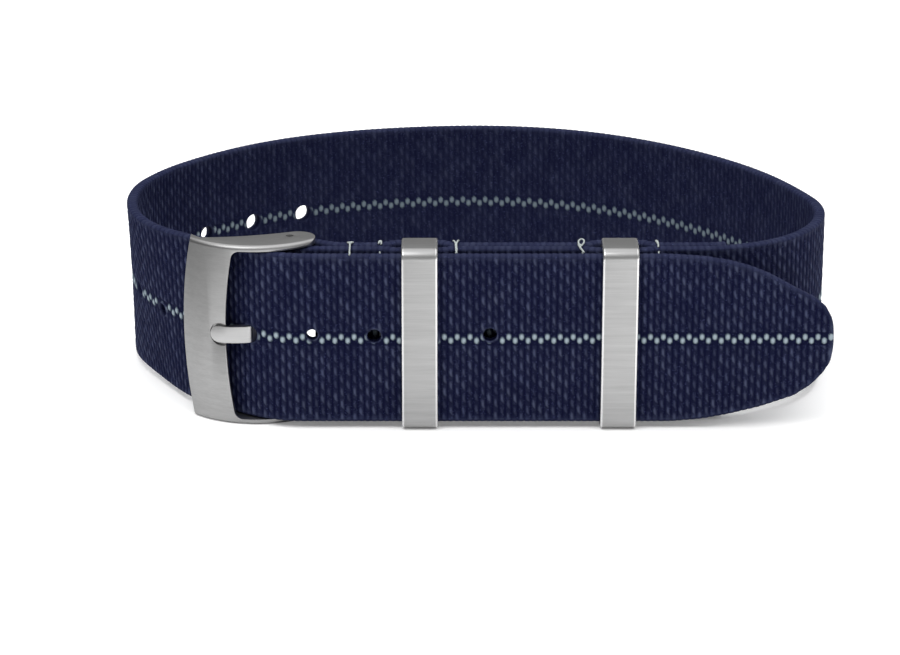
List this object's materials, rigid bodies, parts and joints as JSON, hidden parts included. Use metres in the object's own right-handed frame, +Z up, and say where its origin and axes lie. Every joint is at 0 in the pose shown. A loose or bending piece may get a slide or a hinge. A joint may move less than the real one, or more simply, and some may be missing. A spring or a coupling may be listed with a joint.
{
  "type": "stretch watch band",
  "caption": "elastic woven watch strap closed by a pin buckle, buckled into a standing loop, with metal keepers in sewn pockets and a centre stripe",
  "frame": {"origin": "bottom centre of the whole buckled band, on the plane it stands on", "axes": "+X runs along the front from the buckle to the tail's tip, -Y is the buckle side, +Z is up, along the width of the strap"},
  "size_m": [0.0808, 0.055, 0.0213],
  "materials": {
    "webbing": "coarse elastic weave, navy with a pale centre stripe",
    "thread": "white sewing thread",
    "steel": "fine brushed, polished edges",
    "spring_steel": "drawn wire"
  },
  "bodies": {
    "strap": {"tail_webbing": "webbing", "tail_at_buckle": "webbing", "left_side": "webbing", "right_side": "webbing", "outer_layer": "webbing", "bar_fold": "webbing", "lining_layer": "webbing", "stitch_row_1": "thread", "stitch_row_2": "thread", "stitch_row_3": "thread", "stitch_row_4": "thread", "stitch_row_5": "thread", "bar_tube": "steel", "bar_spring": "spring_steel"},
    "back": {"back": "webbing"},
    "buckle_frame": {"buckle_frame": "steel"},
    "tang": {"tang": "steel"},
    "plunger_top": {"plunger_top": "steel"},
    "plunger_bottom": {"plunger_bottom": "steel"},
    "keeper_near": {"keeper_near": "steel"},
    "keeper_far": {"keeper_far": "steel"}
  },
  "joints": [
    {"name": "band_stretch", "type": "slide", "parent": "strap", "child": "back", "axis": [0, 1, 0], "range_m": [0, 0.012], "stiffness_N_per_m": 400, "deforming": ["left_side", "right_side"]},
    {"name": "frame_pivot", "type": "hinge", "parent": "strap", "child": "buckle_frame", "pos_m": [-0.02095, -0.02174, 0.01065], "axis": [0, 0, 1], "range_deg": [0, 10], "deforming": ["tail_at_buckle"]},
    {"name": "tang_pivot", "type": "hinge", "parent": "buckle_frame", "child": "tang", "pos_m": [-0.02095, -0.02174, 0.01065], "axis": [0, 0, 1], "range_deg": [0, 6]},
    {"name": "plunger_top_travel", "type": "slide", "parent": "strap", "child": "plunger_top", "axis": [0, 0, -1], "range_m": [0, 0.0008], "stiffness_N_per_m": 800, "deforming": ["bar_spring"]},
    {"name": "plunger_bottom_travel", "type": "slide", "parent": "strap", "child": "plunger_bottom", "axis": [0, 0, 1], "range_m": [0, 0.0008], "stiffness_N_per_m": 800, "deforming": ["bar_spring"]},
    {"name": "keeper_near_slide", "type": "slide", "parent": "strap", "child": "keeper_near", "axis": [1, 0, 0], "range_m": [-0.0006, 0.0006]},
    {"name": "keeper_far_slide", "type": "slide", "parent": "strap", "child": "keeper_far", "axis": [1, 0, 0], "range_m": [-0.0006, 0.0006]}
  ]
}
